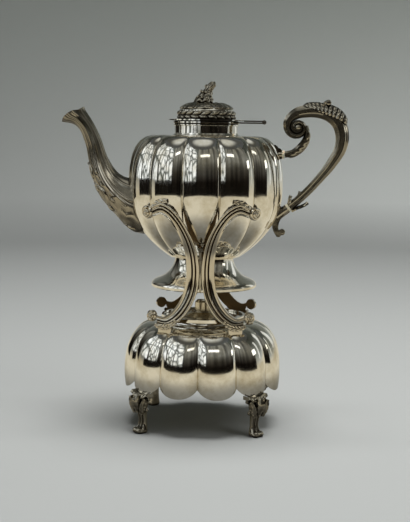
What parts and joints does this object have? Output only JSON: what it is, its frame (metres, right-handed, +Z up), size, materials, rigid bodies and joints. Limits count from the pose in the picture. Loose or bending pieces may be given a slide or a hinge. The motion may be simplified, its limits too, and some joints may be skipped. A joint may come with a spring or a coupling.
{
  "type": "kettle on stand",
  "caption": "Melon-lobed kettle with a spout and scrolled side handle, resting in a four-scroll stand over a small spirit lamp.",
  "frame": {"origin": "on the stand's axis at the surface that its four feet stand on", "axes": "+Z up, +X towards the kettle's handle, -X towards its spout, -Y the front as pictured"},
  "size_m": [0.3062, 0.1668, 0.3669],
  "materials": {
    "raised_silver": "polished raised silver",
    "cast_silver": "cast and chased silver, tarnished in the hollows",
    "silver_fittings": "worn silver",
    "lamp_silver": "silver dulled by heat",
    "bone": "polished bone",
    "cotton": "woven cotton wick"
  },
  "bodies": {
    "stand": {"base_dome": "raised_silver", "base_neck_ring": "raised_silver", "lamp_seat": "raised_silver", "foot_front_left": "cast_silver", "foot_front_right": "cast_silver", "foot_rear_left": "cast_silver", "foot_rear_right": "cast_silver", "bracket_front_left": "cast_silver", "bracket_front_right": "cast_silver", "bracket_rear_left": "cast_silver", "bracket_rear_right": "cast_silver", "waist_clasp_front": "cast_silver", "waist_clasp_rear": "cast_silver"},
    "kettle": {"kettle_body": "raised_silver", "kettle_neck": "raised_silver", "kettle_foot": "raised_silver", "spout": "raised_silver", "spout_leaf": "cast_silver", "handle": "cast_silver", "handle_leaf": "cast_silver", "handle_upper_socket": "cast_silver", "handle_lower_socket": "cast_silver", "upper_insulator": "bone", "lower_insulator": "bone", "handle_pins": "silver_fittings", "hinge_strap_fixed": "silver_fittings", "hinge_pin": "silver_fittings"},
    "lid": {"lid_shell": "raised_silver", "lid_bezel": "raised_silver", "lid_band": "cast_silver", "lid_hinge_strap": "silver_fittings", "finial_leaves": "cast_silver", "finial_flower": "cast_silver", "finial_nut": "silver_fittings"},
    "lamp": {"lamp_reservoir": "lamp_silver", "lamp_top": "lamp_silver", "wick_tube": "lamp_silver", "wick": "cotton"},
    "cap": {"lamp_cap": "lamp_silver"}
  },
  "joints": [
    {"name": "kettle_lift", "type": "slide", "parent": "stand", "child": "kettle", "axis": [0, 0, 1], "range_m": [0, 0.12]},
    {"name": "lid_hinge", "type": "hinge", "parent": "kettle", "child": "lid", "pos_m": [0.0616, 0, 0.3248], "axis": [0, 1, 0], "range_deg": [0, 95]},
    {"name": "lamp_lift", "type": "slide", "parent": "stand", "child": "lamp", "axis": [0, 0, 1], "range_m": [0, 0.03]},
    {"name": "cap_lift", "type": "slide", "parent": "lamp", "child": "cap", "axis": [0, 0, 1], "range_m": [0, 0.012]}
  ]
}
